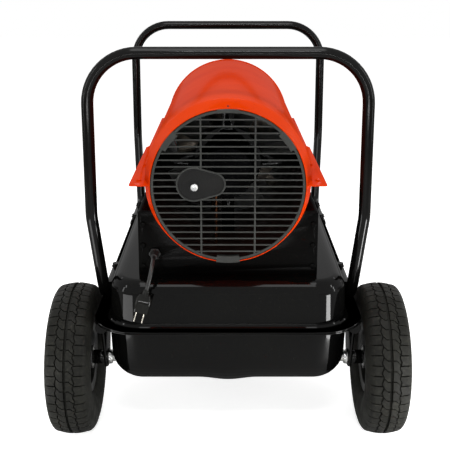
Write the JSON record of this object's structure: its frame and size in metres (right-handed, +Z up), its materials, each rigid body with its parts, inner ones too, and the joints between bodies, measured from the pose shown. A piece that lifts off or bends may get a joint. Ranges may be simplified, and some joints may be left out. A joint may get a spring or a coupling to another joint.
{
  "type": "forced air heater",
  "caption": "Forced air heater: a round orange barrel with an intake grille over a black fuel tank, two carrying hoops, pneumatic wheels and a tube stand.",
  "frame": {"origin": "on the floor, under the middle of the heater's box", "axes": "+Z up, +Y from the air intake to the hot outlet, +X to the right seen from the intake end"},
  "size_m": [0.6056, 0.877, 0.673],
  "materials": {
    "barrel_enamel": "gloss orange-red stove enamel on sheet steel",
    "black_enamel": "gloss black powder coat on pressed steel",
    "tube_enamel": "gloss black powder coat on bent tube",
    "guard_coat": "dark grey coating, half matt",
    "plate_plastic": "moulded black plastic",
    "zinc_steel": "bright zinc plating",
    "rim_enamel": "black enamel on pressed steel",
    "tyre_rubber": "matt black rubber with a block tread",
    "cord_rubber": "matt black rubber sheath",
    "plug_rubber": "moulded black plug",
    "blade_metal": "nickel plated blades",
    "motor_enamel": "dark enamel on steel",
    "fan_aluminium": "pressed sheet",
    "stainless": "heat tinted stainless sheet",
    "brass": "turned brass",
    "ceramic": "glazed white ceramic",
    "copper_line": "drawn copper tube",
    "resin": "potted resin block",
    "circuit_board": "green circuit board",
    "switch_plastic": "moulded black plastic",
    "rocker_plastic": "moulded red plastic",
    "lamp_lens": "clear red moulded lens",
    "cap_plastic": "moulded black plastic"
  },
  "bodies": {
    "chassis": {"axle": "zinc_steel", "axle_spacers": "zinc_steel", "axle_nuts": "zinc_steel", "stand_frame": "tube_enamel", "rear_handle": "tube_enamel", "front_handle": "tube_enamel", "handle_bolts": "zinc_steel", "tank_lower": "black_enamel", "tank_upper": "black_enamel", "filler_neck": "black_enamel", "fuel_gauge": "cap_plastic", "fuel_pickup": "brass", "lower_shell": "barrel_enamel", "upper_shell": "barrel_enamel", "shell_screws": "zinc_steel", "outlet_cone": "barrel_enamel", "intake_guard": "guard_coat", "guard_clips": "guard_coat", "guard_plate": "plate_plastic", "guard_screw": "zinc_steel", "motor_body": "motor_enamel", "motor_bracket": "black_enamel", "bracket_bolts": "zinc_steel", "pump_body": "motor_enamel", "pump_cover": "motor_enamel", "pump_screws": "zinc_steel", "combustion_chamber": "stainless", "chamber_brackets": "stainless", "burner_head": "brass", "igniter": "ceramic", "photocell": "switch_plastic", "fuel_line": "copper_line", "air_line": "copper_line", "base_housing": "black_enamel", "rear_panel": "black_enamel", "panel_screws": "zinc_steel", "control_panel": "black_enamel", "switch_bezel": "switch_plastic", "thermostat_body": "resin", "pilot_lamp": "lamp_lens", "ignition_transformer": "resin", "control_board": "circuit_board", "strain_relief": "cord_rubber", "power_cord": "cord_rubber", "mains_plug": "plug_rubber", "plug_blades": "blade_metal"},
    "wheel_left": {"tyre_left": "tyre_rubber", "rim_left": "rim_enamel", "bearings_left": "zinc_steel", "rim_bolts_left": "zinc_steel"},
    "wheel_right": {"tyre_right": "tyre_rubber", "rim_right": "rim_enamel", "bearings_right": "zinc_steel", "rim_bolts_right": "zinc_steel"},
    "fan_rotor": {"fan": "fan_aluminium", "motor_shaft": "zinc_steel", "pump_rotor": "resin"},
    "power_switch": {"power_switch": "rocker_plastic"},
    "thermostat_knob": {"thermostat_knob": "cap_plastic"},
    "fuel_cap": {"fuel_cap": "cap_plastic"}
  },
  "joints": [
    {"name": "wheel_left_spin", "type": "hinge", "parent": "chassis", "child": "wheel_left", "pos_m": [-0.265, -0.3085, 0.13], "axis": [1, 0, 0], "continuous": true},
    {"name": "wheel_right_spin", "type": "hinge", "parent": "chassis", "child": "wheel_right", "pos_m": [0.265, -0.3085, 0.13], "axis": [1, 0, 0], "continuous": true},
    {"name": "fan_spin", "type": "hinge", "parent": "chassis", "child": "fan_rotor", "pos_m": [0, -0.1225, 0.465], "axis": [0, 1, 0], "continuous": true},
    {"name": "switch_rock", "type": "hinge", "parent": "chassis", "child": "power_switch", "pos_m": [0.145, 0.0055, 0.352], "axis": [0, 1, 0], "range_deg": [0, 20]},
    {"name": "thermostat_turn", "type": "hinge", "parent": "chassis", "child": "thermostat_knob", "pos_m": [0.156, 0.0635, 0.352], "axis": [1, 0, 0], "range_deg": [0, 270]},
    {"name": "cap_turn", "type": "hinge", "parent": "chassis", "child": "fuel_cap", "pos_m": [-0.112, 0.2815, 0.32], "axis": [0, 0, 1], "range_deg": [0, 90]}
  ]
}
